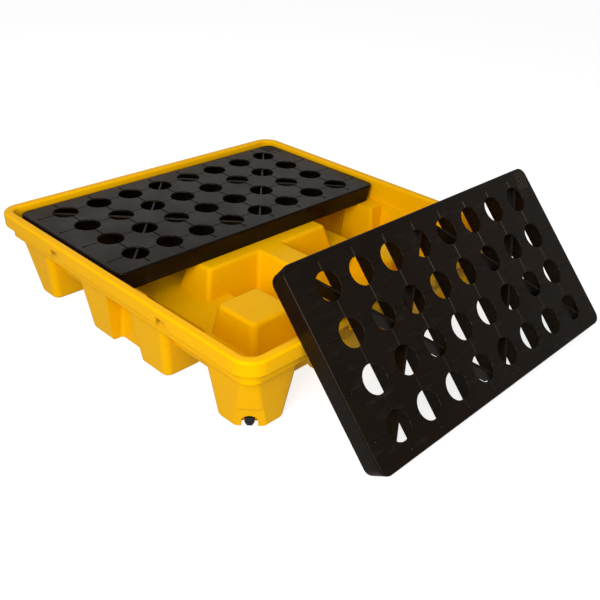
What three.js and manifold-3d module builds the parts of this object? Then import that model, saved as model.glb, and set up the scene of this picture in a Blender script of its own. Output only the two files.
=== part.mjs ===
// Spill containment pallet for drums: a moulded sump tray on feet, open to forks from four sides, with
// two lift-out deck grates and a threaded drain plug at one corner. The back grate is in its seat. The
// front grate is lifted out and leans on the tray's front rim, its lower edge on the floor.
// Millimetres, +Z up, X along the grates' long edges, -Y towards the leaning grate.

import * as THREE from 'three';
import { mergeVertices } from 'three/addons/utils/BufferGeometryUtils.js';
import Module from 'manifold-3d';

// ---- driving dimensions

const TRAY = {
	half: 650, // to the rim's outer face
	height: 300,
	skin: 7,
	rimCorner: 68,
	rimFillet: 8,
	lipBottom: 251, // the turned-down rim ends here
	seatHalf: 617.5, // the opening that the grates drop into
	seatCorner: 38,
	ledge: 217, // top of the ledge, blocks and cross that carry the grates
	floor: 115, // inside floor, above the fork channels
};
const FOOT = {
	outer: 578, // outer faces at the ground
	outerTop: 612, // and under the rim
	cornerInner: 434, // faces towards the fork channels, at the ground
	sideHalf: 206, // half length of a side foot at the ground
	centreHalf: 204,
	draft: 0.13, // slope of the faces beside the channels
	outerCorner: { low: 98, high: 47 },
	facet: { round: 0.3, start: 0.586 + 0.3 * Math.tan( Math.PI / 8 ) }, // parts of that corner's radius
	edge: 26,
};
const BASIN = { half: 553, slope: 0.116, corner: 60, edge: 18 }; // outside of the sump's wall at its foot
const NICHE = { back: 538, halfLow: 85, halfHigh: 61, edge: 12 };
const CROSS = { armHigh: 280, armLow: 308, halfHigh: 54, halfLow: 80, edge: 10 };
const BLOCK = { centre: 322, halfHigh: 85, halfLow: 100, edge: 22 };
const NOTCH = { width: 48, height: 24, place: 281 }; // lashing notches in the rim's lower edge

const GRATE = {
	length: 1211,
	width: 612,
	depth: 68,
	taper: 8, // the underside is smaller than the top by this all round
	corner: 32,
	chamfer: 4,
	deck: 6,
	skirt: 6,
	columns: 8,
	rows: 4,
	pitchX: 136.3,
	pitchY: 139.1,
	hole: 43.5,
	rib: 5,
	bar: 9,
	barTop: 63,
	barBottom: 8,
	seated: { x: 9.7, y: 297 }, // where the back grate's middle lies in its seat, with some play
	lift: 0.3, // clearance over its seat
};
const LEAN = { x: 135.5, degrees: 47.6, gap: 0.3 };

const DRAIN = {
	axisZ: 23,
	flat: 768, // distances from the tray's middle along the corner's diagonal
	flatLean: 26,
	flatTop: 82,
	pocketBack: 743,
	archHalf: 23,
	archTop: 42,
	bushHalf: 14,
	bushInner: 726,
	bushOuter: 746,
	collarHalf: 16.5,
	bore: 10.7,
	gasket: 2.5,
	gap: 0.3,
	shank: 10.4,
	shankLength: 14,
	flangeHalf: 16,
	flange: 4,
	headHalf: 14.9,
	head: 26.5,
};

const ARC_STEPS = 5; // facets in each rounded corner
const ROUND = 32;
const OVER = 1; // how far a cutter runs past what it cuts

// ---- solids

const wasm = await Module();
wasm.setup();

function solid( geometry ) {

	const plain = geometry.clone();
	plain.deleteAttribute( 'normal' );
	plain.deleteAttribute( 'uv' );
	const merged = mergeVertices( plain, 1e-4 );
	return new wasm.Manifold( new wasm.Mesh( {
		numProp: 3,
		vertProperties: merged.attributes.position.array,
		triVerts: new Uint32Array( merged.index.array ),
	} ) );

}

function geometryOf( body ) {

	const mesh = body.getMesh();
	const geometry = new THREE.BufferGeometry();
	geometry.setAttribute( 'position', new THREE.BufferAttribute( mesh.vertProperties, 3 ) );
	geometry.setIndex( new THREE.BufferAttribute( mesh.triVerts, 1 ) );
	geometry.computeVertexNormals();
	return geometry;

}

const join = ( bodies ) => bodies.reduce( ( all, body ) => all.add( body ) );
const cut = ( body, tools ) => tools.reduce( ( rest, tool ) => rest.subtract( tool ), body );

// Outline of a rectangle with rounded corners, anticlockwise. radii: one number, or one per corner
// starting at (x0, y0). The faceted corner is cut off flat between two smaller rounds.
function roundedOutline( [ x0, x1 ], [ y0, y1 ], radii, faceted ) {

	const r = Array.isArray( radii ) ? radii : [ radii, radii, radii, radii ];
	const corners = [ [ x0, y0 ], [ x1, y0 ], [ x1, y1 ], [ x0, y1 ] ];
	const points = [];
	corners.forEach( ( [ x, y ], k ) => {

		const small = k === faceted ? FOOT.facet.round * r[ k ] : r[ k ];
		const start = k === faceted ? FOOT.facet.start * r[ k ] : r[ k ];
		const turn = Math.PI * ( 1 + k / 2 );
		const [ c, s ] = [ Math.cos( turn ), Math.sin( turn ) ];
		for ( let i = 0; i <= ARC_STEPS; i ++ ) {

			const angle = turn + ( i / ARC_STEPS ) * Math.PI / 2;
			const [ one, two ] = 2 * i < ARC_STEPS ? [ small, start ] : [ start, small ];
			points.push( [
				x - one * c + two * s + small * Math.cos( angle ),
				y - one * s - two * c + small * Math.sin( angle ),
			] );

		}

	} );
	return points;

}

// Closed body through a stack of rounded rectangles, given from the lowest up as { z, x, y, r }.
function loft( sections ) {

	const rings = sections.map( ( s ) => roundedOutline( s.x, s.y, s.r, s.faceted ) );
	const count = rings[ 0 ].length;
	const positions = rings.flatMap( ( ring, k ) => ring.flatMap( ( [ x, y ] ) => [ x, y, sections[ k ].z ] ) );
	const index = [];
	for ( let k = 0; k + 1 < rings.length; k ++ ) {

		for ( let i = 0; i < count; i ++ ) {

			const a = k * count + i;
			const b = k * count + ( i + 1 ) % count;
			index.push( a, b, b + count, a, b + count, a + count );

		}

	}

	const top = ( rings.length - 1 ) * count;
	for ( let i = 1; i + 1 < count; i ++ ) {

		index.push( 0, i + 1, i, top, top + i, top + i + 1 );

	}

	const geometry = new THREE.BufferGeometry();
	geometry.setAttribute( 'position', new THREE.Float32BufferAttribute( positions, 3 ) );
	geometry.setIndex( index );
	return solid( geometry );

}

const both = ( half ) => [ - half, half ];
const square = ( z, half, r ) => ( { z, x: both( half ), y: both( half ), r } );

function box( [ x0, x1 ], [ y0, y1 ], [ z0, z1 ] ) {

	const block = new THREE.BoxGeometry( x1 - x0, y1 - y0, z1 - z0 );
	return solid( block.translate( ( x0 + x1 ) / 2, ( y0 + y1 ) / 2, ( z0 + z1 ) / 2 ) );

}

// A span from near to far along one axis, on the side that sign names.
const span = ( sign, near, far ) => ( sign > 0 ? [ near, far ] : [ - far, - near ] );
const SIGNS = [ - 1, 1 ];
const CORNERS = SIGNS.flatMap( ( sx ) => SIGNS.map( ( sy ) => [ sx, sy ] ) );

// A lathe or an extrusion made along +Z, turned to lie along the drain corner's outward diagonal.
// z = 0 is placed at the given distance from the tray's middle.
function onDrainAxis( geometry, distance, height = DRAIN.axisZ ) {

	const outward = new THREE.Vector3( - 1, - 1, 0 ).normalize();
	const across = new THREE.Vector3( 1, - 1, 0 ).normalize();
	const up = new THREE.Vector3( 0, 0, 1 );
	const frame = new THREE.Matrix4().makeBasis( across, up, outward );
	frame.setPosition( outward.multiplyScalar( distance ).add( up.multiplyScalar( height ) ) );
	return geometry.applyMatrix4( frame );

}

// A turned piece from its outline of [radius, distance] points, closed on itself or on the axis.
function turned( outline, distance ) {

	const profile = outline.map( ( [ radius, along ] ) => new THREE.Vector2( radius, along ) );
	const lathe = new THREE.LatheGeometry( profile, ROUND );
	lathe.rotateX( Math.PI / 2 );
	return solid( onDrainAxis( lathe, distance ) );

}

// ---- sump tray
// The tray is one skin: everything is shaped twice, once as the outside and once, smaller by the skin,
// as the space inside.

const footOuter = ( z ) => FOOT.outer + ( FOOT.outerTop - FOOT.outer ) * z / TRAY.lipBottom;
const footCorner = ( z ) =>
	FOOT.outerCorner.low + ( FOOT.outerCorner.high - FOOT.outerCorner.low ) * z / TRAY.lipBottom;

function cornerFoot( sx, sy, inset, top ) {

	const section = ( z ) => {

		const [ near, far ] = [ FOOT.cornerInner - FOOT.draft * z + inset, footOuter( z ) - inset ];
		const [ x, y ] = [ span( sx, near, far ), span( sy, near, far ) ];
		const edge = Math.max( FOOT.edge - inset, 4 );
		const faceted = [ [ - 1, - 1 ], [ 1, - 1 ], [ 1, 1 ], [ - 1, 1 ] ].findIndex( ( [ cx, cy ] ) =>
			cx === sx && cy === sy );
		const r = [ 0, 1, 2, 3 ].map( ( k ) => k === faceted ? footCorner( z ) - inset : edge );
		return { z, x, y, r, faceted };

	};
	return loft( [ inset, top ].map( section ) );

}

// A foot in the middle of a side. along: the axis it faces.
function sideFoot( along, sign, inset, top ) {

	const section = ( z ) => {

		const out = span( sign, FOOT.cornerInner - FOOT.draft * z + inset, footOuter( z ) - inset );
		const wide = both( FOOT.sideHalf + FOOT.draft * z - inset );
		return { z, x: along === 'x' ? out : wide, y: along === 'x' ? wide : out, r: FOOT.edge - inset };

	};
	return loft( [ inset, top ].map( section ) );

}

// The recess in a side foot's face; with the skin as inset it is the pilaster that shows inside.
function niche( along, sign, grow, top ) {

	const section = ( z ) => {

		const half = NICHE.halfLow + ( NICHE.halfHigh - NICHE.halfLow ) * z / TRAY.ledge + grow;
		const out = span( sign, NICHE.back + 0.01 * z - grow, TRAY.half );
		const wide = both( half );
		return { z, x: along === 'x' ? out : wide, y: along === 'x' ? wide : out, r: NICHE.edge };

	};
	return loft( [ - OVER, top ].map( section ) );

}

function crossArm( along, shrink, bottom ) {

	const top = TRAY.ledge - shrink;
	const run = TRAY.ledge - TRAY.floor;
	const section = ( z ) => {

		const down = ( top - z ) / run;
		const length = both( CROSS.armHigh + ( CROSS.armLow - CROSS.armHigh ) * down - shrink );
		const wide = both( CROSS.halfHigh + ( CROSS.halfLow - CROSS.halfHigh ) * down - shrink );
		return { z, x: along === 'x' ? length : wide, y: along === 'x' ? wide : length, r: CROSS.edge };

	};
	return loft( [ bottom, top ].map( section ) );

}

function raisedBlock( sx, sy, shrink, bottom ) {

	const top = TRAY.ledge - shrink;
	const section = ( z ) => {

		const down = ( top - z ) / ( TRAY.ledge - TRAY.floor );
		const half = BLOCK.halfHigh + ( BLOCK.halfLow - BLOCK.halfHigh ) * down - shrink;
		const at = ( s ) => [ s * BLOCK.centre - half, s * BLOCK.centre + half ];
		return { z, x: at( sx ), y: at( sy ), r: BLOCK.edge };

	};
	return loft( [ bottom, top ].map( section ) );

}

function basin( inset, bottom, top, edge ) {

	const section = ( z, trim ) =>
		square( z, BASIN.half + BASIN.slope * ( z - TRAY.floor ) - inset - trim, BASIN.corner - inset );
	return loft( [
		section( bottom, edge ),
		section( bottom + 0.3 * edge, 0.3 * edge ),
		section( bottom + edge, 0 ),
		section( top, 0 ),
	] );

}

// The arch pocket at the drain corner, an opening with a half-round top, from its back wall outward.
function drainArch( grow, back, front ) {

	const half = DRAIN.archHalf + grow;
	const spring = DRAIN.archTop - DRAIN.archHalf;
	const shape = new THREE.Shape();
	shape.moveTo( - half, - OVER );
	shape.lineTo( half, - OVER );
	shape.lineTo( half, spring );
	shape.absarc( 0, spring, half, 0, Math.PI, false );
	shape.closePath();
	const run = { depth: front - back, bevelEnabled: false, curveSegments: 14 };
	const arch = new THREE.ExtrudeGeometry( shape, run );
	return solid( onDrainAxis( arch, back, 0 ) );

}

// Everything outside the flat on the drain corner, which leans out with the foot.
function drainFlat( inset, top ) {

	const slab = new THREE.BoxGeometry( 300, top + OVER, 200 );
	slab.translate( 0, ( top - OVER ) / 2, 100 );
	const corners = slab.attributes.position;
	for ( let i = 0; i < corners.count; i ++ ) {

		if ( corners.getY( i ) > 0 && corners.getZ( i ) < 1 ) corners.setZ( i, DRAIN.flatLean );

	}

	return solid( onDrainAxis( slab, DRAIN.flat - inset, 0 ) );

}

function rimNotches() {

	const halfWidth = NOTCH.width / 2;
	const z = [ TRAY.lipBottom - OVER, TRAY.lipBottom + NOTCH.height ];
	const out = [ TRAY.half - 3 * TRAY.skin, TRAY.half + OVER ];
	const back = [ - out[ 1 ], - out[ 0 ] ];
	return SIGNS.flatMap( ( sign ) => {

		const here = [ sign * NOTCH.place - halfWidth, sign * NOTCH.place + halfWidth ];
		return [ box( back, here, z ), box( out, here, z ), box( here, back, z ), box( here, out, z ) ];

	} );

}

function sumpTray() {

	const { half, height, skin, rimCorner, rimFillet, lipBottom, seatHalf, seatCorner, ledge, floor } = TRAY;
	const underLedge = ledge - skin;
	const feet = ( inset, top ) => [
		...CORNERS.map( ( [ sx, sy ] ) => cornerFoot( sx, sy, inset, top ) ),
		...SIGNS.flatMap( ( s ) => [ sideFoot( 'x', s, inset, top ), sideFoot( 'y', s, inset, top ) ] ),
	];
	const centreFoot = ( inset, top ) => loft( [ inset, top ].map( ( z ) =>
		square( z, FOOT.centreHalf + FOOT.draft * z - inset, FOOT.edge - inset ) ) );
	const niches = ( grow, top ) => SIGNS.flatMap( ( s ) =>
		[ niche( 'x', s, grow, top ), niche( 'y', s, grow, top ) ] );
	const supports = ( shrink, bottom ) => [
		crossArm( 'x', shrink, bottom ),
		crossArm( 'y', shrink, bottom ),
		...CORNERS.map( ( [ sx, sy ] ) => raisedBlock( sx, sy, shrink, bottom ) ),
	];

	const lip = cut( loft( [
		square( lipBottom, half - 1.5, rimCorner ),
		square( height - rimFillet, half, rimCorner ),
		square( height - 0.3 * rimFillet, half - 0.3 * rimFillet, rimCorner ),
		square( height, half - rimFillet, rimCorner - rimFillet ),
	] ), [ loft( [
		square( lipBottom - OVER, half - skin - 1.5, rimCorner - skin ),
		square( height - skin, half - skin, rimCorner - skin ),
	] ), ...rimNotches() ] );
	const collarHalf = seatHalf + skin;
	const collar = loft( [
		square( underLedge, collarHalf, seatCorner + skin ),
		square( height - OVER, collarHalf, seatCorner + skin ),
	] );

	let outside = join( [
		lip,
		collar,
		basin( 0, floor - skin, ledge, BASIN.edge ),
		...feet( 0, lipBottom ),
		centreFoot( 0, floor ),
	] );
	outside = cut( outside, [
		...niches( 0, underLedge ),
		...supports( skin, - OVER ),
		drainArch( 0, DRAIN.pocketBack, half * 2 ),
		drainFlat( 0, DRAIN.flatTop ),
	] );

	const seat = loft( [
		square( ledge, seatHalf, seatCorner ),
		square( height - rimFillet, seatHalf, seatCorner ),
		square( height - 0.3 * rimFillet, seatHalf + 0.3 * rimFillet, seatCorner ),
		square( height + OVER, seatHalf + rimFillet + OVER, seatCorner + rimFillet ),
	] );
	let inside = join( [
		seat,
		basin( skin, floor, ledge + OVER, BASIN.edge - skin ),
		...feet( skin, ledge + OVER ),
		centreFoot( skin, floor + OVER ),
	] );
	inside = cut( inside, [
		...niches( skin, ledge ),
		...supports( 0, - OVER ),
		drainArch( skin, DRAIN.pocketBack - skin, half * 2 ),
		drainFlat( skin, DRAIN.flatTop + skin ),
	] );

	const hole = DRAIN.bushHalf + DRAIN.gap;
	const bushHole = turned( [ [ 0, 0 ], [ hole, 0 ], [ hole, 20 ], [ 0, 20 ] ], DRAIN.pocketBack - skin - 6 );
	return cut( outside, [ inside, bushHole ] );

}

// ---- deck grates
// Made lying flat, middle of the underside at the origin: a deck with a skirt, straight ribs around the
// holes, and an X of cross bars through the holes of each half.

function deckGrate() {

	const { depth, corner, chamfer, deck, skirt, taper, columns, rows, pitchX, pitchY } = GRATE;
	const x = GRATE.length / 2;
	const y = GRATE.width / 2;
	const section = ( z, trim ) => ( { z, x: both( x - trim ), y: both( y - trim ), r: corner - trim } );
	const shell = cut( loft( [
		section( 0, taper ),
		section( depth - chamfer, taper * chamfer / depth ),
		section( depth, chamfer ),
	] ), [ loft( [ section( - OVER, taper + skirt ), section( depth - deck, taper + skirt ) ] ) ] );

	const holes = [];
	for ( let i = 0; i < columns; i ++ ) {

		for ( let j = 0; j < rows; j ++ ) {

			const drill = new THREE.CylinderGeometry( GRATE.hole, GRATE.hole, 2 * deck + 2, 20 );
			drill.rotateX( Math.PI / 2 );
			drill.translate( ( i - ( columns - 1 ) / 2 ) * pitchX, ( j - ( rows - 1 ) / 2 ) * pitchY, depth );
			holes.push( solid( drill ) );

		}

	}

	const ribs = [];
	const ribTop = depth - deck + 0.5;
	const halfRib = GRATE.rib / 2;
	for ( let i = 0; i <= columns; i ++ ) {

		const at = ( i - columns / 2 ) * pitchX;
		ribs.push( box( [ at - halfRib, at + halfRib ], both( y - taper - skirt / 2 ), [ 1, ribTop ] ) );

	}

	for ( let j = 1; j < rows; j ++ ) {

		const at = ( j - rows / 2 ) * pitchY;
		ribs.push( box( both( x - taper - skirt / 2 ), [ at - halfRib, at + halfRib ], [ 0, ribTop ] ) );

	}

	const reachX = 2 * pitchX;
	const reachY = 2 * pitchY;
	for ( const middle of [ - reachX, reachX ] ) {

		for ( const turn of SIGNS ) {

			const bar = new THREE.BoxGeometry(
				2 * Math.hypot( reachX, reachY ) - 60, GRATE.bar, GRATE.barTop - GRATE.barBottom );
			bar.rotateZ( turn * Math.atan2( reachY, reachX ) );
			bar.translate( middle, 0, ( GRATE.barTop + GRATE.barBottom ) / 2 );
			ribs.push( solid( bar ) );

		}

	}

	return join( [ cut( shell, holes ), ...ribs ] );

}

// ---- drain

function drainInsert() {

	const { bushHalf, collarHalf, bore, bushInner, bushOuter, pocketBack, gap } = DRAIN;
	const shoulder = pocketBack + gap - bushInner;
	const end = bushOuter - bushInner;
	return turned( [
		[ bore, 0 ], [ bushHalf, 0 ], [ bushHalf, shoulder ], [ collarHalf, shoulder ],
		[ collarHalf, end ], [ bore, end ], [ bore, 0 ],
	], bushInner );

}

function plugGasket() {

	const inner = DRAIN.bore + 0.2;
	const outer = DRAIN.flangeHalf - 1;
	return turned( [ [ inner, 0 ], [ outer, 0 ], [ outer, DRAIN.gasket ], [ inner, DRAIN.gasket ], [ inner, 0 ] ],
		DRAIN.bushOuter + DRAIN.gap );

}

function drainPlug() {

	const { shank, shankLength, flangeHalf, flange, headHalf, head, bushOuter, gasket, gap } = DRAIN;
	const seat = bushOuter + gasket + 2 * gap;
	const body = turned( [
		[ 0, - shankLength ], [ shank - 1.5, - shankLength ], [ shank, 1.5 - shankLength ], [ shank, 0 ],
		[ flangeHalf, 0 ], [ flangeHalf, flange - 1 ], [ flangeHalf - 1, flange ], [ 0, flange ],
	], seat );
	const hexagon = new THREE.CylinderGeometry( headHalf, headHalf, head - 2, 6 );
	hexagon.rotateX( Math.PI / 2 );
	hexagon.rotateZ( Math.PI / 6 );
	hexagon.translate( 0, 0, flange + head / 2 - 2 );
	const crown = new THREE.CylinderGeometry( headHalf - 2, headHalf, 2, 6 );
	crown.rotateX( Math.PI / 2 );
	crown.rotateZ( Math.PI / 6 );
	crown.translate( 0, 0, flange + head - 2 );
	return join( [ body, solid( onDrainAxis( hexagon, seat ) ), solid( onDrainAxis( crown, seat ) ) ] );

}

// ---- assembly

const polyethylene = new THREE.MeshStandardMaterial( { color: 0xf7b500, roughness: 0.45, metalness: 0 } );
const blackGrate = new THREE.MeshStandardMaterial( { color: 0x262422, roughness: 0.5, metalness: 0 } );
const blackPlastic = new THREE.MeshStandardMaterial( { color: 0x141414, roughness: 0.45, metalness: 0 } );
const rubber = new THREE.MeshStandardMaterial( { color: 0x1a1a1a, roughness: 0.8, metalness: 0 } );

function node( name, body, material ) {

	const mesh = new THREE.Mesh( geometryOf( body ), material );
	mesh.name = name;
	return mesh;

}

const grate = deckGrate();
const backGrate = node( 'back_grate', grate, blackGrate );
backGrate.position.set( GRATE.seated.x, GRATE.seated.y, TRAY.ledge + GRATE.lift );

// The leaning grate's underside plane touches the rim's rounded outer edge and its lower edge the floor.
const lean = THREE.MathUtils.degToRad( LEAN.degrees );
const edgeCentre = { y: TRAY.rimFillet - TRAY.half, z: TRAY.height - TRAY.rimFillet };
const contact = TRAY.rimFillet + LEAN.gap;
const leanFoot = edgeCentre.y - ( contact + edgeCentre.z * Math.cos( lean ) ) / Math.sin( lean );

const frontGrate = node( 'front_grate', grate, blackGrate );
frontGrate.position.y = GRATE.width / 2 - GRATE.taper;
const leaning = new THREE.Group();
leaning.position.set( LEAN.x, leanFoot, 0 );
leaning.rotation.x = lean;
leaning.add( frontGrate );

const pallet = new THREE.Group();
pallet.add(
	node( 'sump_tray', sumpTray(), polyethylene ),
	backGrate,
	leaning,
	node( 'drain_insert', drainInsert(), blackPlastic ),
	node( 'plug_gasket', plugGasket(), rubber ),
	node( 'drain_plug', drainPlug(), blackPlastic ),
);

// The origin is on the floor, under the middle of the whole assembly.
const extent = new THREE.Box3().setFromObject( pallet, true );
const middle = extent.getCenter( new THREE.Vector3() );
pallet.position.set( - middle.x, - middle.y, 0 );

const assembly = new THREE.Group();
assembly.add( pallet );

export default assembly;
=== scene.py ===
"""Visual model of a spill containment pallet: a moulded yellow sump tray, two black deck grates, one of
them in its seat and one leaning on the tray's rim, and a threaded drain plug with its bush and gasket.
Metres, in the frame of the CAD model: +X along the grates' long edges, -Y towards the leaning grate."""

import math

import bmesh
import bpy
from mathutils import Matrix, Vector


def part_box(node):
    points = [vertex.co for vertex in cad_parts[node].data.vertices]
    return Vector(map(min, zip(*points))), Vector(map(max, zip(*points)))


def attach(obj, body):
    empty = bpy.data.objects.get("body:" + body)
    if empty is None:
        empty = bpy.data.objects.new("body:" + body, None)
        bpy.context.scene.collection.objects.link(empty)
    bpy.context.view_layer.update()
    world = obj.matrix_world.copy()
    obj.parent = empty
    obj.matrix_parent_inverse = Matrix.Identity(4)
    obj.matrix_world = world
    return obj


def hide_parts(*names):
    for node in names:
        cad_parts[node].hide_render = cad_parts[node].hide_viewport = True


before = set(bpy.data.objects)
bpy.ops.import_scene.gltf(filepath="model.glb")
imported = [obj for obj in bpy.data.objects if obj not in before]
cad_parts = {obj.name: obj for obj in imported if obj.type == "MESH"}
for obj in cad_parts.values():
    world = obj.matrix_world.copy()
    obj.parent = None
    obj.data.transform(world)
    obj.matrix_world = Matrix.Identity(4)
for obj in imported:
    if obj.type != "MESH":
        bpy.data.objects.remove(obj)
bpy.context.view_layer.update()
MM = 0.001
tray_low, tray_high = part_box("sump_tray")
TRAY_AT = Vector(((tray_low[0] + tray_high[0]) / 2, (tray_low[1] + tray_high[1]) / 2, 0))


# ---- camera, lights and floor
# The camera stands about 2.1 m from the tray's front left corner and looks down by 30 degrees, so that two
# sides, the seated grate, the open half of the sump and the face of the leaning grate all show.

camera = bpy.data.objects.new("camera", bpy.data.cameras.new("camera"))
bpy.context.scene.collection.objects.link(camera)
bpy.context.scene.camera = camera
camera.data.sensor_width = 36
camera.data.lens = 47.02
camera.data.clip_start = 0.05
camera.data.clip_end = 100
STAND = Vector((-1.748252, -1.828491, 1.424791))
LOOK = Vector((0.6369563, 0.5904239, -0.4956676))
RIGHT = Vector((0.6992017, -0.7132497, 0.0489062))
camera_up = RIGHT.cross(LOOK)
turn = Matrix((RIGHT, camera_up, -LOOK)).transposed().to_4x4()
camera.matrix_world = Matrix.Translation(TRAY_AT + STAND) @ turn

# Even light from all round, a big soft key in front on the left, lower ones to the left and in front that
# light the feet and the groove walls, one overhead, and a strip behind for the far edges. The floor sends
# no light back onto the object, so the feet keep their full colour.
bpy.context.scene.view_settings.view_transform = "Standard"
world = bpy.data.worlds.new("studio")
bpy.context.scene.world = world
world.use_nodes = True
world.node_tree.nodes["Background"].inputs["Color"].default_value = (1.0, 1.0, 1.0, 1)
world.node_tree.nodes["Background"].inputs["Strength"].default_value = 0.4

AIM_HEIGHT = 0.15
# name, place from the tray's middle, size, power
LIGHTS = [
    ("key_left", (-3.4, -2.2, 2.9), (2.0, 2.0), 128),
    ("side_left", (-4.0, -2.0, 1.6), (1.6, 1.0), 56),
    ("side_front", (-1.4, -4.2, 1.2), (2.2, 1.2), 44),
    ("top_soft", (-0.4, 0.2, 4.2), (3.0, 3.0), 30),
    ("strip_back", (2.4, 3.4, 2.2), (3.0, 0.6), 5),
]
for name, place, (wide, tall), power in LIGHTS:
    lamp = bpy.data.lights.new(name, "AREA")
    lamp.shape = "RECTANGLE"
    lamp.size, lamp.size_y, lamp.energy = wide, tall, power
    light = bpy.data.objects.new(name, lamp)
    light.location = TRAY_AT + Vector(place)
    aim = TRAY_AT + Vector((0, 0, AIM_HEIGHT)) - light.location
    light.rotation_euler = aim.to_track_quat("-Z", "Y").to_euler()
    bpy.context.scene.collection.objects.link(light)

floor_mesh = bpy.data.meshes.new("floor")
FLOOR, FLOOR_GAP = 30, 0.0005
floor_mesh.from_pydata([(-FLOOR, -FLOOR, 0), (FLOOR, -FLOOR, 0), (FLOOR, FLOOR, 0), (-FLOOR, FLOOR, 0)],
                       [], [(0, 1, 2, 3)])
floor = bpy.data.objects.new("floor", floor_mesh)
floor.location = (0, 0, -FLOOR_GAP)
bpy.context.scene.collection.objects.link(floor)
pale = bpy.data.materials.new("pale_floor")
pale.use_nodes = True
paper = pale.node_tree.nodes["Principled BSDF"].inputs
paper["Base Color"].default_value = (0.35, 0.35, 0.35, 1)
paper["Roughness"].default_value = 0.95
paper["Emission Color"].default_value = (1, 1, 1, 1)
paper["Emission Strength"].default_value = 0.8
floor_mesh.materials.append(pale)
floor.visible_diffuse = floor.visible_glossy = False


# ---- moulded plastic
# All the big pieces are rotational or injection mouldings: coloured through, with a satin skin that is a
# little uneven in gloss and level, and scuffed where it is handled.

def plastic(name, colours, roughness, grain, scuff, specular, soft):
    """A moulded plastic. colours: dark and light tone; roughness: (low, high); grain: size of the skin's
    fine unevenness as (scale, depth in m); scuff: (colour, amount) of the worn tint; specular: (level,
    tint) of its gloss; soft: radius in m to which the light rounds its edges."""
    material = bpy.data.materials.new(name)
    material.use_nodes = True
    nodes, links = material.node_tree.nodes, material.node_tree.links
    shader = nodes["Principled BSDF"]
    shader.inputs["Specular IOR Level"].default_value = specular[0]
    shader.inputs["Specular Tint"].default_value = (*specular[1], 1)
    place = nodes.new("ShaderNodeTexCoord")

    def noise(scale, detail, stretch=(1, 1, 1)):
        mapping = nodes.new("ShaderNodeMapping")
        mapping.inputs["Scale"].default_value = stretch
        links.new(place.outputs["Object"], mapping.inputs["Vector"])
        texture = nodes.new("ShaderNodeTexNoise")
        texture.inputs["Scale"].default_value = scale
        texture.inputs["Detail"].default_value = detail
        links.new(mapping.outputs["Vector"], texture.inputs["Vector"])
        return texture.outputs["Fac"]

    def spread(value, low, high, bounds=(0.3, 0.7)):
        ramp = nodes.new("ShaderNodeMapRange")
        ramp.inputs["From Min"].default_value, ramp.inputs["From Max"].default_value = bounds
        ramp.inputs["To Min"].default_value, ramp.inputs["To Max"].default_value = low, high
        links.new(value, ramp.inputs["Value"])
        return ramp.outputs["Result"]

    mottled = spread(noise(2.2, 3), 0, 1)
    scuffed = spread(noise(14, 8, (1, 6, 3)), 0, scuff[1], (0.56, 0.8))
    gloss = spread(noise(9, 5), *roughness)
    unevenness, pores = noise(5.5, 2), noise(grain[0], 4)

    tone = nodes.new("ShaderNodeMix")
    tone.data_type = "RGBA"
    links.new(mottled, tone.inputs["Factor"])
    tone.inputs["A"].default_value = (*colours[0], 1)
    tone.inputs["B"].default_value = (*colours[1], 1)
    worn = nodes.new("ShaderNodeMix")
    worn.data_type = "RGBA"
    links.new(scuffed, worn.inputs["Factor"])
    links.new(tone.outputs["Result"], worn.inputs["A"])
    worn.inputs["B"].default_value = (*scuff[0], 1)
    links.new(worn.outputs["Result"], shader.inputs["Base Color"])
    links.new(gloss, shader.inputs["Roughness"])

    rounded = nodes.new("ShaderNodeBevel")
    rounded.samples = 6
    rounded.inputs["Radius"].default_value = soft
    wave = nodes.new("ShaderNodeBump")
    wave.inputs["Distance"].default_value = 0.0012
    wave.inputs["Strength"].default_value = 0.25
    links.new(unevenness, wave.inputs["Height"])
    links.new(rounded.outputs["Normal"], wave.inputs["Normal"])
    skin = nodes.new("ShaderNodeBump")
    skin.inputs["Distance"].default_value = grain[1]
    skin.inputs["Strength"].default_value = 0.6
    links.new(pores, skin.inputs["Height"])
    links.new(wave.outputs["Normal"], skin.inputs["Normal"])
    links.new(skin.outputs["Normal"], shader.inputs["Normal"])
    return material


yellow = plastic(
    "yellow_moulded", colours=((0.82, 0.405, 0.0), (0.88, 0.445, 0.0)), roughness=(0.36, 0.48),
    grain=(420, 0.00012), scuff=((0.72, 0.335, 0.0), 0.35), specular=(0.1, (1.0, 0.7, 0.1)), soft=0.004)
black = plastic(
    "black_moulded", colours=((0.0042, 0.0026, 0.0018), (0.0065, 0.0042, 0.003)), roughness=(0.24, 0.36),
    grain=(300, 0.00015), scuff=((0.02, 0.016, 0.012), 0.5), specular=(0.12, (1.0, 0.74, 0.5)), soft=0.0012)
nylon = plastic(
    "black_nylon_moulded", colours=((0.010, 0.010, 0.010), (0.014, 0.014, 0.014)), roughness=(0.3, 0.42),
    grain=(900, 0.00005), scuff=((0.03, 0.03, 0.03), 0.4), specular=(0.35, (1, 1, 1)), soft=0.0005)
rubber = plastic(
    "seal_rubber_moulded", colours=((0.014, 0.014, 0.015), (0.02, 0.02, 0.021)), roughness=(0.7, 0.85),
    grain=(1200, 0.00006), scuff=((0.04, 0.04, 0.04), 0.3), specular=(0.3, (1, 1, 1)), soft=0.0004)


# ---- sump tray
# One rotational moulding in yellow polyethylene, 1300 x 1300 x 300 mm with a skin of about 7 mm: corner
# and side feet with fork channels between them, a recessed wall above each channel, and a rim that turns
# outward and down. Inside, a ledge, four blocks and a cross carry the grates, and the sump runs into the
# feet. Every edge of the moulding is rounded. Millimetres, from the tray's middle on the floor.

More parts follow.
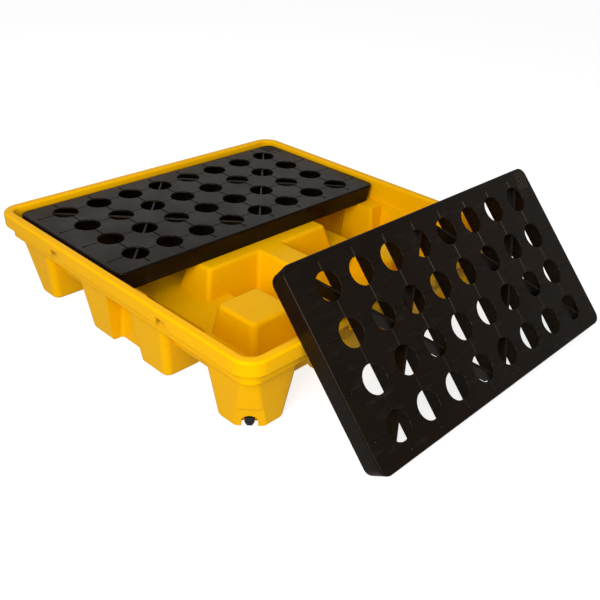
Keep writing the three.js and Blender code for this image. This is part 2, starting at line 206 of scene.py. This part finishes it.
SKIN = 7
HALF, HEIGHT, LIP_BOTTOM = 650, 300, 251
RIM_CORNER, RIM_FILLET = 68, 8
LIP_FLARE, LIP_BEAD = (1.2, 2), 2.5
SEAT_HALF, SEAT_CORNER, SEAT_FILLET, LEDGE, SUMP_FLOOR = 617.5, 38, 7, 217, 115
FOOT_OUTER, FOOT_OUTER_TOP, FOOT_INNER, FOOT_SIDE, FOOT_MIDDLE = 578, 612, 434, 206, 204
FOOT_DRAFT, FOOT_EDGE, FOOT_CORNER_LOW, FOOT_CORNER_HIGH = 0.13, 26, 98, 47
FOOT_SOLE, FOOT_MOUTH = 12, 5
FACET_ROUND, FACET_START = 0.3, 0.586 + 0.3 * math.tan(math.pi / 8)
BASIN_HALF, BASIN_SLOPE, BASIN_CORNER, BASIN_EDGE, BASIN_EDGE_INSIDE = 553, 0.116, 60, 18, 22
NICHE_BACK, NICHE_SLOPE, NICHE_LOW, NICHE_HIGH, NICHE_EDGE = 538, 0.01, 85, 61, 12
CROSS_ARM, CROSS_ARM_LOW, CROSS_HALF, CROSS_HALF_LOW = 280, 308, 54, 80
CROSS_TIP, CROSS_NOOK, CROSS_EDGE = 16, 14, 12
BLOCK_AT, BLOCK_HALF, BLOCK_HALF_LOW, BLOCK_CORNER, BLOCK_EDGE = 322, 85, 100, 22, 13
NOTCH_AT, NOTCH_WIDTH, NOTCH_HEIGHT = 281, 48, 24
DRAIN_Z, DRAIN_FLAT, DRAIN_FLAT_TOP, DRAIN_FLAT_LEAN, DRAIN_WIDE, POCKET_BACK = 23, 768, 82, 26, 150, 743
ARCH_HALF, ARCH_TOP, ARCH_STEPS, BUSH_HOLE, BUSH_PAST = 24, 47, 20, 14.3, 6
LEAST_RADIUS, LEAST_EDGE, LEAST_TIP, LEAST_CORNER = 0.5, 4, 2, 6
# how far a cutter reaches past what it cuts, and the angles of a rounded edge
OVER = 1
ARC_STEPS = 8
ARC = [math.pi / 2 * k / ARC_STEPS for k in range(ARC_STEPS + 1)]
SIGNS = (-1, 1)
CORNERS = [(sx, sy) for sx in SIGNS for sy in SIGNS]


def rectangle(x, y, radii, faceted=None):
    """Outline of a rounded rectangle, anticlockwise from its lowest corner; radii one per corner or one.
    The faceted corner is cut off flat, between two rounds smaller than its radius."""
    radii = radii if isinstance(radii, (list, tuple)) else [radii] * 4
    points = []
    for k, (px, py) in enumerate(((x[0], y[0]), (x[1], y[0]), (x[1], y[1]), (x[0], y[1]))):
        r = max(radii[k], LEAST_RADIUS)
        small, start = (r * FACET_ROUND, r * FACET_START) if k == faceted else (r, r)
        turn = math.pi * (1 + k / 2)
        c, s = math.cos(turn), math.sin(turn)
        for i, a in enumerate(ARC):
            one, two = (small, start) if i < len(ARC) // 2 else (start, small)
            points.append((px - one * c + two * s + small * math.cos(turn + a),
                           py - one * s - two * c + small * math.sin(turn + a)))
    return points


def solid(name, rings, place=None):
    """Closed object through rings of (outline, z), lowest first, in millimetres of the tray's own frame."""
    count = len(rings[0][0])
    vertices = [Vector((x, y, z)) * MM for outline, z in rings for x, y in outline]
    faces = [list(range(count))[::-1], [(len(rings) - 1) * count + i for i in range(count)]]
    for k in range(len(rings) - 1):
        for i in range(count):
            a, b = k * count + i, k * count + (i + 1) % count
            faces.append((a, b, b + count, a + count))
    if place is not None:
        vertices = [place @ v for v in vertices]
    mesh = bpy.data.meshes.new(name)
    mesh.from_pydata(vertices, [], faces)
    thing = bpy.data.objects.new(name, mesh)
    bpy.context.scene.collection.objects.link(thing)
    return thing


def combine(name, base, steps):
    """base after each (operation, objects) step, as one new object. The parts are used up."""
    used = []
    for operation, parts in steps:
        for part in parts:
            modifier = base.modifiers.new("step", "BOOLEAN")
            modifier.solver = "MANIFOLD"
            modifier.operation = operation
            modifier.object = part
            used.append(part)
    bpy.context.view_layer.update()
    mesh = bpy.data.meshes.new_from_object(base.evaluated_get(bpy.context.evaluated_depsgraph_get()))
    for part in [base, *used]:
        bpy.data.objects.remove(part)
    thing = bpy.data.objects.new(name, mesh)
    mesh.name = name
    bpy.context.scene.collection.objects.link(thing)
    return thing


def span(sign, near, far):
    return (near, far) if sign > 0 else (-far, -near)


def both(half):
    return (-half, half)


def eased(bottom, top, low_fillet, high_fillet):
    """Heights of a loft's rings, each with how far its outline draws in to round the bottom and top edge."""
    rings = [(bottom, 0)]
    if low_fillet:
        rings = [(bottom + low_fillet * (1 - math.cos(a)), low_fillet * (1 - math.sin(a))) for a in ARC]
    if not high_fillet:
        return rings + [(top, 0)]
    return rings + [(top - high_fillet * (1 - math.sin(a)), high_fillet * (1 - math.cos(a))) for a in ARC]


def foot_outer(z):
    return FOOT_OUTER + (FOOT_OUTER_TOP - FOOT_OUTER) * z / LIP_BOTTOM


def foot_rings(inset, top, mouth):
    """Heights, trims and inner edge radii of a foot, or of the space in it. mouth: fillet where the space
    opens into the sump floor."""
    heights = eased(inset, top, FOOT_SOLE - inset / 2, 0)
    if mouth:
        heights = heights[:-1] + [(top - mouth * (1 - math.sin(a)), -mouth * (1 - math.cos(a))) for a in ARC]
        heights += [(top + OVER, -mouth)]
    return [(z, trim, max(FOOT_EDGE - inset - max(trim, 0), LEAST_EDGE)) for z, trim in heights]


def corner_foot(sx, sy, inset, top, mouth=0):
    rings = []
    for z, trim, edge in foot_rings(inset, top, mouth):
        near = FOOT_INNER - FOOT_DRAFT * z + inset + trim
        drawn_in = inset + max(trim, 0)
        far = foot_outer(z) - drawn_in
        corner = FOOT_CORNER_LOW + (FOOT_CORNER_HIGH - FOOT_CORNER_LOW) * z / LIP_BOTTOM - drawn_in
        faceted = ((-1, -1), (1, -1), (1, 1), (-1, 1)).index((sx, sy))
        radii = [corner if k == faceted else edge for k in range(4)]
        rings.append((rectangle(span(sx, near, far), span(sy, near, far), radii, faceted), z))
    return solid("corner_foot", rings)


def side_foot(along, sign, inset, top, mouth=0):
    rings = []
    for z, trim, edge in foot_rings(inset, top, mouth):
        out = span(sign, FOOT_INNER - FOOT_DRAFT * z + inset + trim, foot_outer(z) - inset - max(trim, 0))
        wide = both(FOOT_SIDE + FOOT_DRAFT * z - inset - trim)
        x, y = (out, wide) if along == "x" else (wide, out)
        rings.append((rectangle(x, y, edge), z))
    return solid("side_foot", rings)


def middle_foot(inset, top, mouth=0):
    rings = []
    for z, trim, edge in foot_rings(inset, top, mouth):
        half = FOOT_MIDDLE + FOOT_DRAFT * z - inset - trim
        rings.append((rectangle(both(half), both(half), edge), z))
    return solid("middle_foot", rings)


def niche(along, sign, grow, top):
    """The recessed wall in the middle of a side foot, as the space outside it grown by grow."""
    rings = []
    for z in (-OVER, top):
        half = NICHE_LOW + (NICHE_HIGH - NICHE_LOW) * z / LEDGE + grow
        out, wide = span(sign, NICHE_BACK + NICHE_SLOPE * z - grow, HALF), both(half)
        x, y = (out, wide) if along == "x" else (wide, out)
        rings.append((rectangle(x, y, NICHE_EDGE), z))
    return solid("niche", rings)


def cross(shrink):
    """The raised cross: two arms in one outline, with rounded tips and rounded inner corners."""
    top = LEDGE - shrink
    rings = []
    for z, trim in eased(-OVER, top, 0, CROSS_EDGE):
        down = (top - z) / (LEDGE - SUMP_FLOOR)
        arm = CROSS_ARM + (CROSS_ARM_LOW - CROSS_ARM) * down - shrink - trim
        half = CROSS_HALF + (CROSS_HALF_LOW - CROSS_HALF) * down - shrink - trim
        points = []
        for k in range(4):
            quarter = Matrix.Rotation(math.pi / 2 * k, 2)
            edge = []
            r = max(CROSS_TIP - shrink - trim, LEAST_TIP)
            for a in ARC:
                edge.append((arm - r + r * math.sin(a), -half + r - r * math.cos(a)))
            for a in ARC:
                edge.append((arm - r + r * math.cos(a), half - r + r * math.sin(a)))
            for a in ARC:
                edge.append((half + CROSS_NOOK * (1 - math.sin(a)), half + CROSS_NOOK * (1 - math.cos(a))))
            points += [tuple(quarter @ Vector(p)) for p in edge]
        rings.append((points, z))
    return solid("cross", rings)


def block(sx, sy, shrink):
    top = LEDGE - shrink
    rings = []
    for z, trim in eased(-OVER, top, 0, BLOCK_EDGE):
        down = (top - z) / (LEDGE - SUMP_FLOOR)
        half = BLOCK_HALF + (BLOCK_HALF_LOW - BLOCK_HALF) * down - shrink - trim
        x, y = ((s * BLOCK_AT - half, s * BLOCK_AT + half) for s in (sx, sy))
        rings.append((rectangle(x, y, max(BLOCK_CORNER - trim, LEAST_CORNER)), z))
    return solid("block", rings)


def square(half, radius, z):
    return rectangle(both(half), both(half), radius), z


def basin(inset, bottom, top, edge, flare=0):
    """The sump's own box, or the space in it, spreading by a fillet of radius flare at the top."""
    corner = BASIN_CORNER - inset
    rings = [square(BASIN_HALF + BASIN_SLOPE * (z - SUMP_FLOOR) - inset - trim, corner, z)
             for z, trim in eased(bottom, top, edge, 0)]
    if flare:
        last = BASIN_HALF + BASIN_SLOPE * (top - SUMP_FLOOR) - inset
        rings.pop()
        for a in ARC:
            rings.append(square(last + flare * (1 - math.cos(a)), corner, top - flare * (1 - math.sin(a))))
        rings.append(square(last + flare, corner, top + OVER))
    return solid("basin", rings)


# Frame on the drain corner: X across the corner, Y up, Z outward along the diagonal.
ROOT_HALF = math.sqrt(0.5)
DIAGONAL = Matrix(((ROOT_HALF, 0, -ROOT_HALF, 0),
                   (-ROOT_HALF, 0, -ROOT_HALF, 0),
                   (0, 1, 0, 0),
                   (0, 0, 0, 1)))


def circle(radius, count=48, height=0):
    """Points round a circle in the plane of an outline, its middle height above the origin."""
    turns = [math.tau * k / count for k in range(count)]
    return [(radius * math.cos(a), height + radius * math.sin(a)) for a in turns]


def drain_arch(grow, back, front):
    """The plug's pocket: straight sides up to a half round."""
    half, spring = ARCH_HALF + grow, ARCH_TOP - ARCH_HALF
    turns = [math.pi * k / ARCH_STEPS for k in range(ARCH_STEPS + 1)]
    outline = [(-half, -OVER), (half, -OVER)]
    outline += [(half * math.cos(a), spring + half * math.sin(a)) for a in turns]
    return solid("arch", [(outline, back), (outline, front)], DIAGONAL)


def drain_flat(inset, top):
    """Everything outside the flat on the drain corner, which leans out with the foot."""
    rings = []
    for height, out in ((0, 0), (top, DRAIN_FLAT_LEAN), (top, DRAIN_WIDE)):
        outline = [(-DRAIN_WIDE, -OVER), (DRAIN_WIDE, -OVER), (DRAIN_WIDE, height), (-DRAIN_WIDE, height)]
        rings.append((outline, DRAIN_FLAT - inset + out))
    return solid("flat", rings, DIAGONAL)


def box(x, y, z):
    outline = [(x[0], y[0]), (x[1], y[0]), (x[1], y[1]), (x[0], y[1])]
    return solid("box", [(outline, height) for height in z])


def feet(inset, top, mouth=0):
    made = [corner_foot(sx, sy, inset, top, mouth) for sx, sy in CORNERS]
    return made + [side_foot(along, s, inset, top, mouth) for along in "xy" for s in SIGNS]


def niches(grow, top):
    return [niche(along, s, grow, top) for along in "xy" for s in SIGNS]


def supports(shrink):
    return [cross(shrink)] + [block(sx, sy, shrink) for sx, sy in CORNERS]


rings = [square(HALF - LIP_BEAD, RIM_CORNER, LIP_BOTTOM),
         square(HALF - LIP_FLARE[0], RIM_CORNER, LIP_BOTTOM + LIP_FLARE[1])]
for z, trim in eased(LIP_BOTTOM, HEIGHT, 0, RIM_FILLET)[1:]:
    rings.append(square(HALF - trim, RIM_CORNER - trim / 2, z))
lip = solid("lip", rings)
under_lip = solid("under_lip", [square(HALF - SKIN - LIP_BEAD, RIM_CORNER - SKIN, LIP_BOTTOM - OVER),
                                square(HALF - SKIN, RIM_CORNER - SKIN, HEIGHT - SKIN)])
notches = []
for s in SIGNS:
    here = (s * NOTCH_AT - NOTCH_WIDTH / 2, s * NOTCH_AT + NOTCH_WIDTH / 2)
    rise = (LIP_BOTTOM - OVER, LIP_BOTTOM + NOTCH_HEIGHT)
    wall = (HALF - 3 * SKIN, HALF + OVER)
    notches += [box(span(side, *wall), here, rise) for side in SIGNS]
    notches += [box(here, span(side, *wall), rise) for side in SIGNS]
lip = combine("lip", lip, [("DIFFERENCE", [under_lip, *notches])])
collar = solid("collar", [square(SEAT_HALF + SKIN, SEAT_CORNER + SKIN, z)
                          for z in (LEDGE - SKIN, HEIGHT - OVER)])
outside = combine("outside", lip, [
    ("UNION", [collar, basin(0, SUMP_FLOOR - SKIN, LEDGE, BASIN_EDGE), *feet(0, LIP_BOTTOM),
               middle_foot(0, SUMP_FLOOR)]),
    ("DIFFERENCE", [*niches(0, LEDGE - SKIN), *supports(SKIN),
                    drain_arch(0, POCKET_BACK, HALF * 2), drain_flat(0, DRAIN_FLAT_TOP)]),
])
rings = [square(SEAT_HALF, SEAT_CORNER, LEDGE)]
for z, trim in eased(LEDGE, HEIGHT, 0, RIM_FILLET)[1:]:
    rings.append(square(SEAT_HALF + trim, SEAT_CORNER + trim, z))
rings.append(square(SEAT_HALF + RIM_FILLET, SEAT_CORNER + RIM_FILLET, HEIGHT + OVER))
inside = combine("inside", solid("seat", rings), [
    ("UNION", [basin(SKIN, SUMP_FLOOR, LEDGE, BASIN_EDGE_INSIDE, SEAT_FILLET), *feet(SKIN, LEDGE + OVER),
               *feet(SKIN, SUMP_FLOOR, FOOT_MOUTH), middle_foot(SKIN, SUMP_FLOOR, FOOT_MOUTH)]),
    ("DIFFERENCE", [*niches(SKIN, LEDGE), *supports(0), drain_arch(SKIN, POCKET_BACK - SKIN, HALF * 2),
                    drain_flat(SKIN, DRAIN_FLAT_TOP + SKIN)]),
])
bush_hole = solid("bush_hole", [(circle(BUSH_HOLE, 40, DRAIN_Z), along)
                                for along in (POCKET_BACK - SKIN - BUSH_PAST, POCKET_BACK + BUSH_PAST)],
                  DIAGONAL)
tray = combine("tray", outside, [("DIFFERENCE", [inside, bush_hole])])
tray.data.transform(Matrix.Translation(TRAY_AT))
tray.data.materials.clear()
tray.data.materials.append(yellow)


WELD, SLIVER = 0.00002, 0.00001


def finish_mesh(thing, angle):
    """Welds what the cuts left apart, and shades it smooth except across edges sharper than angle, in
    degrees."""
    work = bmesh.new()
    work.from_mesh(thing.data)
    bmesh.ops.remove_doubles(work, verts=work.verts, dist=WELD)
    bmesh.ops.dissolve_degenerate(work, dist=SLIVER, edges=work.edges)
    work.to_mesh(thing.data)
    work.free()
    thing.data.shade_smooth()
    thing.data.set_sharp_from_angle(angle=math.radians(angle))
    weigh = thing.modifiers.new("weigh", "WEIGHTED_NORMAL")
    weigh.keep_sharp = True
    bpy.context.view_layer.update()
    mesh = bpy.data.meshes.new_from_object(thing.evaluated_get(bpy.context.evaluated_depsgraph_get()))
    thing.modifiers.clear()
    thing.data = mesh


finish_mesh(tray, angle=32)
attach(tray, "tray")
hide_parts("sump_tray")


# ---- deck grates
# Two identical black mouldings, 1211 x 612 x 68 mm: a 6 mm deck with 32 round holes on a skirt, straight
# ribs around the holes, an X of round-topped bars under the holes of each half, shallow grooves through
# the hole centres that end in dimples, and a hatched grip pad in one corner.

GRATE_LONG, GRATE_WIDE, GRATE_DEEP = 1211, 612, 68
GRATE_CORNER, GRATE_EDGE, GRATE_DECK, GRATE_SKIRT, GRATE_TAPER = 32, 7, 6, 6, 8
COLUMNS, ROWS, PITCH_X, PITCH_Y, HOLE, HOLE_EDGE = 8, 4, 136.3, 139.1, 43.5, 3.5
RIB, RIB_LOW, RIB_SUNK, RIB_REACH = 5, 0.4, 0.5, 3
BAR, BAR_TOP, BAR_BOTTOM, BAR_EDGE, BAR_CORNER, BAR_SHORT, BAR_SPAN = 9, 63, 8, 3.4, 0.6, 30, 4
# half width at the bottom and at the face, and depth
GROOVE_ACROSS, GROOVE_ALONG, HATCH_LINE = (0.8, 3.6, 3.4), (1.0, 2.8, 1.5), (1.0, 4.0, 3.2)
GROOVE_END = 0.98
# radius and depth
DIMPLE_AT, DIMPLE = 27, ((2.5, 3.4), (5.2, 1.2), (6.2, -OVER))
PAD_HALF_X, PAD_HALF_Y, PAD_CORNER, PAD_DEEP, PAD_IN_X, PAD_IN_Y = 34, 32, 10, 4, 46, 44
HATCH_HALF, HATCH_TURN, HATCH_PITCH, HATCH_LINES = 60, 80, 13, 11
# lets two ribs or bars that cross end at different heights, so that no two faces lie in one plane
APART = 0.1
SEATED = Vector((9.7, 297, 217.3)) * MM
LEAN_X, LEAN_ANGLE, LEAN_GAP = 135.5, math.radians(47.6), 0.3

x, y = GRATE_LONG / 2, GRATE_WIDE / 2
rings = []
for z, trim in eased(0, GRATE_DEEP, 0, GRATE_EDGE):
    inset = GRATE_TAPER * (1 - z / GRATE_DEEP) + trim
    rings.append((rectangle(both(x - inset), both(y - inset), GRATE_CORNER - trim), z))
slab = solid("slab", rings)
inset = GRATE_TAPER + GRATE_SKIRT
hollow = solid("hollow", [(rectangle(both(x - inset), both(y - inset), GRATE_CORNER - inset), z)
                          for z in (-OVER, GRATE_DEEP - GRATE_DECK)])
grate = combine("grate", slab, [("DIFFERENCE", [hollow])])
face_above = GRATE_DEEP + OVER


def groove(name, half_long, shape, place=None):
    """A groove's cutter along X: rounded ends and sloping walls."""
    bottom, at_face, deep = shape
    rings = [(rectangle(both(half_long), both(half), half * GROOVE_END), z)
             for half, z in ((bottom, GRATE_DEEP - deep), (at_face, face_above))]
    return solid(name, rings, place)


def turned_by(angle):
    return Matrix.Rotation(angle, 4, "Z")


hole_rings = [(circle(HOLE), GRATE_DEEP - GRATE_DECK - OVER)]
hole_rings += [(circle(HOLE + HOLE_EDGE * (1 - math.cos(a))), GRATE_DEEP - HOLE_EDGE * (1 - math.sin(a)))
               for a in ARC[::2]]
hole_rings.append((circle(HOLE + HOLE_EDGE), face_above))
dimple_rings = [(circle(radius, 20), GRATE_DEEP - deep) for radius, deep in DIMPLE]
rib_top = GRATE_DEEP - GRATE_DECK + RIB_SUNK

tools = {
    "Hole": solid("hole", hole_rings),
    "Rib Across": box(both(RIB / 2), both(y - inset + RIB_REACH), (RIB_LOW, rib_top)),
    "Rib Along": box(both(x - inset + RIB_REACH), both(RIB / 2), (RIB_LOW + 2 * APART, rib_top + APART)),
    "Groove Across": groove("groove_across", y - DIMPLE_AT, GROOVE_ACROSS, turned_by(math.pi / 2)),
    "Groove Along": groove("groove_along", x - DIMPLE_AT, GROOVE_ALONG),
    "Dimple": solid("dimple", dimple_rings),
    "Hatch": groove("hatch", HATCH_HALF, HATCH_LINE, turned_by(math.radians(HATCH_TURN))),
    "Pad": solid("pad", [(rectangle(both(PAD_HALF_X), both(PAD_HALF_Y), PAD_CORNER), z)
                         for z in (GRATE_DEEP - PAD_DEEP, face_above + OVER)]),
}
reach = math.hypot(2 * PITCH_X, 2 * PITCH_Y) - BAR_SHORT
for bar, sign in (("Bar Left", 1), ("Bar Right", -1)):
    tools[bar] = solid("bar", [(rectangle(both(reach - trim), both(BAR / 2 - trim), BAR_CORNER), z)
                               for z, trim in eased(BAR_BOTTOM, BAR_TOP + sign * APART, 0, BAR_EDGE)],
                       turned_by(sign * math.atan2(PITCH_Y, PITCH_X)))

# The layout tree: the plain slab goes in, and each tool is set out on a grid and cut from it or joined on.
tree = bpy.data.node_groups.new("deck", "GeometryNodeTree")
face = tree.interface
face.new_socket("Geometry", in_out="INPUT", socket_type="NodeSocketGeometry")
for socket in ("Pitch X", "Pitch Y", "Dimple Span X", "Dimple Span Y", "Hatch Pitch", "Pad X", "Pad Y"):
    face.new_socket(socket, in_out="INPUT", socket_type="NodeSocketFloat")
for socket in ("Columns", "Rows", "Hatch Lines"):
    face.new_socket(socket, in_out="INPUT", socket_type="NodeSocketInt")
for socket in tools:
    face.new_socket(socket, in_out="INPUT", socket_type="NodeSocketObject")
face.new_socket("Material", in_out="INPUT", socket_type="NodeSocketMaterial")
face.new_socket("Geometry", in_out="OUTPUT", socket_type="NodeSocketGeometry")
given, result = tree.nodes.new("NodeGroupInput"), tree.nodes.new("NodeGroupOutput")


def calc(operation, a, b):
    """A math node on two numbers or sockets."""
    step = tree.nodes.new("ShaderNodeMath")
    step.operation = operation
    for socket, value in zip(step.inputs, (a, b)):
        if isinstance(value, (int, float)):
            socket.default_value = value
        else:
            tree.links.new(value, socket)
    return step.outputs[0]


def laid_out(tool, columns, rows, pitch_x, pitch_y):
    """The named tool at every point of a centred grid, as real geometry."""
    grid = tree.nodes.new("GeometryNodeMeshGrid")
    for socket, value in (("Size X", calc("MULTIPLY", calc("SUBTRACT", columns, 1), pitch_x)),
                          ("Size Y", calc("MULTIPLY", calc("SUBTRACT", rows, 1), pitch_y)),
                          ("Vertices X", columns), ("Vertices Y", rows)):
        if isinstance(value, int):
            grid.inputs[socket].default_value = value
        else:
            tree.links.new(value, grid.inputs[socket])
    source = tree.nodes.new("GeometryNodeObjectInfo")
    tree.links.new(given.outputs[tool], source.inputs["Object"])
    place = tree.nodes.new("GeometryNodeInstanceOnPoints")
    tree.links.new(grid.outputs["Mesh"], place.inputs["Points"])
    tree.links.new(source.outputs["Geometry"], place.inputs["Instance"])
    real = tree.nodes.new("GeometryNodeRealizeInstances")
    tree.links.new(place.outputs["Instances"], real.inputs["Geometry"])
    return real.outputs["Geometry"]


def blended(operation, first, second):
    """A mesh boolean of two geometry sockets."""
    node = tree.nodes.new("GeometryNodeMeshBoolean")
    node.operation = operation
    node.solver = "MANIFOLD"
    tree.links.new(first, node.inputs["Mesh 1" if operation == "DIFFERENCE" else "Mesh 2"])
    tree.links.new(second, node.inputs["Mesh 2"])
    return node.outputs["Mesh"]


value = given.outputs
columns, rows, pitch_x, pitch_y = value["Columns"], value["Rows"], value["Pitch X"], value["Pitch Y"]
flow = value["Geometry"]
flow = blended("DIFFERENCE", flow, laid_out("Hole", columns, rows, pitch_x, pitch_y))
flow = blended("UNION", flow, laid_out("Rib Across", calc("ADD", columns, 1), 1, pitch_x, pitch_y))
flow = blended("UNION", flow, laid_out("Rib Along", 1, calc("SUBTRACT", rows, 1), pitch_x, pitch_y))
crossings, bar_pitch = calc("DIVIDE", columns, BAR_SPAN), calc("MULTIPLY", pitch_x, BAR_SPAN)
for bar in ("Bar Left", "Bar Right"):
    flow = blended("UNION", flow, laid_out(bar, crossings, 1, bar_pitch, pitch_y))
flow = blended("DIFFERENCE", flow, laid_out("Groove Across", columns, 1, pitch_x, pitch_y))
flow = blended("DIFFERENCE", flow, laid_out("Groove Along", 1, rows, pitch_x, pitch_y))
flow = blended("DIFFERENCE", flow, laid_out("Dimple", 2, rows, value["Dimple Span X"], pitch_y))
flow = blended("DIFFERENCE", flow, laid_out("Dimple", columns, 2, pitch_x, value["Dimple Span Y"]))
lines = laid_out("Hatch", value["Hatch Lines"], 1, value["Hatch Pitch"], pitch_y)
pad = tree.nodes.new("GeometryNodeObjectInfo")
tree.links.new(value["Pad"], pad.inputs["Object"])
lines = blended("INTERSECT", lines, pad.outputs["Geometry"])
shift = tree.nodes.new("GeometryNodeTransform")
spot = tree.nodes.new("ShaderNodeCombineXYZ")
tree.links.new(value["Pad X"], spot.inputs["X"])
tree.links.new(value["Pad Y"], spot.inputs["Y"])
tree.links.new(spot.outputs["Vector"], shift.inputs["Translation"])
tree.links.new(lines, shift.inputs["Geometry"])
flow = blended("DIFFERENCE", flow, shift.outputs["Geometry"])
real = tree.nodes.new("GeometryNodeRealizeInstances")
tree.links.new(flow, real.inputs["Geometry"])
paint = tree.nodes.new("GeometryNodeSetMaterial")
tree.links.new(real.outputs["Geometry"], paint.inputs["Geometry"])
tree.links.new(value["Material"], paint.inputs["Material"])
tree.links.new(paint.outputs["Geometry"], result.inputs["Geometry"])

modifier = grate.modifiers.new("deck", "NODES")
modifier.node_group = tree
settings = {
    "Pitch X": PITCH_X * MM, "Pitch Y": PITCH_Y * MM,
    "Dimple Span X": 2 * (x - DIMPLE_AT) * MM, "Dimple Span Y": 2 * (y - DIMPLE_AT) * MM,
    "Hatch Pitch": HATCH_PITCH * MM, "Pad X": (x - PAD_IN_X) * MM, "Pad Y": (y - PAD_IN_Y) * MM,
    "Columns": COLUMNS, "Rows": ROWS, "Hatch Lines": HATCH_LINES, "Material": black, **tools,
}
for item in face.items_tree:
    if item.in_out == "INPUT" and item.name in settings:
        modifier[item.identifier] = settings[item.name]
bpy.context.view_layer.update()
deck_mesh = bpy.data.meshes.new_from_object(grate.evaluated_get(bpy.context.evaluated_depsgraph_get()))
grate.modifiers.clear()
for tool in tools.values():
    bpy.data.objects.remove(tool)
grate.data = deck_mesh
finish_mesh(grate, angle=34)

edge_y, edge_z = RIM_FILLET - HALF, HEIGHT - RIM_FILLET
lean_y = edge_y - (RIM_FILLET + LEAN_GAP + edge_z * math.cos(LEAN_ANGLE)) / math.sin(LEAN_ANGLE)
leaning = (Matrix.Translation(Vector((LEAN_X, lean_y, 0)) * MM) @ Matrix.Rotation(LEAN_ANGLE, 4, "X")
           @ Matrix.Translation((0, (y - GRATE_TAPER) * MM, 0)))
for name, place in (("back", Matrix.Translation(SEATED)), ("front", leaning)):
    mesh = grate.data.copy()
    mesh.transform(Matrix.Translation(TRAY_AT) @ place)
    deck = bpy.data.objects.new(f"{name}_deck", mesh)
    bpy.context.scene.collection.objects.link(deck)
    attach(deck, f"{name}_grate")
    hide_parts(f"{name}_grate")
bpy.data.objects.remove(grate)


# ---- drain plug
# A 21 mm threaded plug with a flat flange and a long six-sided head, screwed into the bush at the drain
# corner, 23 mm above the floor, its axis on the corner's diagonal. It turns and backs out on its thread.

BUSH_FACE, GASKET, GASKET_GAPS = 746, 2.5, 0.6
PLUG_SEAT = BUSH_FACE + GASKET + GASKET_GAPS
SHANK, SHANK_LONG, SHANK_TIP, SHANK_SUNK = 10.4, 14, 1.6, 0.5
THREAD_PITCH, THREAD_DEEP, THREAD_WALL, THREAD_FLAT = 1.814, 0.9, 1.3, 0.15
FLANGE_HALF, FLANGE, FLANGE_UNDER, FLANGE_EDGE = 16, 4, 0.4, 1.2
HEAD_HALF, HEAD, HEAD_EDGE, HEAD_SIDE = 14.9, 26.5, 1.6, 0.43
RECESS_LOW, RECESS_HIGH, RECESS_DEEP = 6.5, 7.5, 2
STEPS, ROUND = 8, 40


def on_plug(outline):
    return [(px, py + DRAIN_Z) for px, py in outline]


rings = []
for k in range(int(SHANK_LONG / THREAD_PITCH * STEPS) + 1):
    along = -SHANK_LONG + k * THREAD_PITCH / STEPS
    point = []
    for i in range(ROUND):
        phase = (k / STEPS - i / ROUND) % 1
        depth = THREAD_DEEP * min(1, max(0, abs(2 * phase - 1) * THREAD_WALL - THREAD_FLAT))
        radius = SHANK - max(depth, SHANK_TIP - (along + SHANK_LONG))
        point.append((radius * math.cos(math.tau * i / ROUND), radius * math.sin(math.tau * i / ROUND)))
    rings.append((on_plug(point), PLUG_SEAT + along))
rings.append((circle(SHANK - THREAD_DEEP, ROUND, DRAIN_Z), PLUG_SEAT + SHANK_SUNK))
shank = solid("shank", rings, DIAGONAL)

profile = [(FLANGE_HALF - FLANGE_UNDER, 0), (FLANGE_HALF, FLANGE_UNDER)]
profile += [(FLANGE_HALF - trim, along) for along, trim in eased(0, FLANGE, 0, FLANGE_EDGE)[1:]]
rings = [(circle(radius, 64, DRAIN_Z), PLUG_SEAT + along) for radius, along in profile]
flange = solid("flange", rings, DIAGONAL)

hexagon = []
for along, trim in eased(FLANGE - OVER, FLANGE + HEAD, 0, HEAD_EDGE):
    size = HEAD_HALF - trim
    flat = size * math.cos(math.pi / 6)
    outline = []
    for k in range(6):
        c, s = math.cos(math.radians(60 * k + 30)), math.sin(math.radians(60 * k + 30))
        for side in both(HEAD_SIDE * size):
            outline.append((flat * c - side * s, flat * s + side * c))
    hexagon.append((on_plug(outline), PLUG_SEAT + along))
head = solid("head", hexagon, DIAGONAL)
recess = solid("recess", [(circle(RECESS_LOW, 32, DRAIN_Z), PLUG_SEAT + FLANGE + HEAD - RECESS_DEEP),
                          (circle(RECESS_HIGH, 32, DRAIN_Z), PLUG_SEAT + FLANGE + HEAD + OVER)], DIAGONAL)
plug = combine("plug", shank, [("UNION", [flange, head]), ("DIFFERENCE", [recess])])
plug.data.transform(Matrix.Translation(TRAY_AT))
plug.data.materials.clear()
plug.data.materials.append(nylon)
finish_mesh(plug, angle=30)
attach(plug, "plug")
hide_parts("drain_plug")


# ---- bush and gasket
# The bush is a flanged black sleeve in the pocket's back wall, and the gasket a flat ring under the
# plug's flange. Their CAD shapes are right, so they keep them and take the plastic and the rubber.

for name, material in (("drain_insert", nylon), ("plug_gasket", rubber)):
    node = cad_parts[name]
    node.data.materials.clear()
    node.data.materials.append(material)
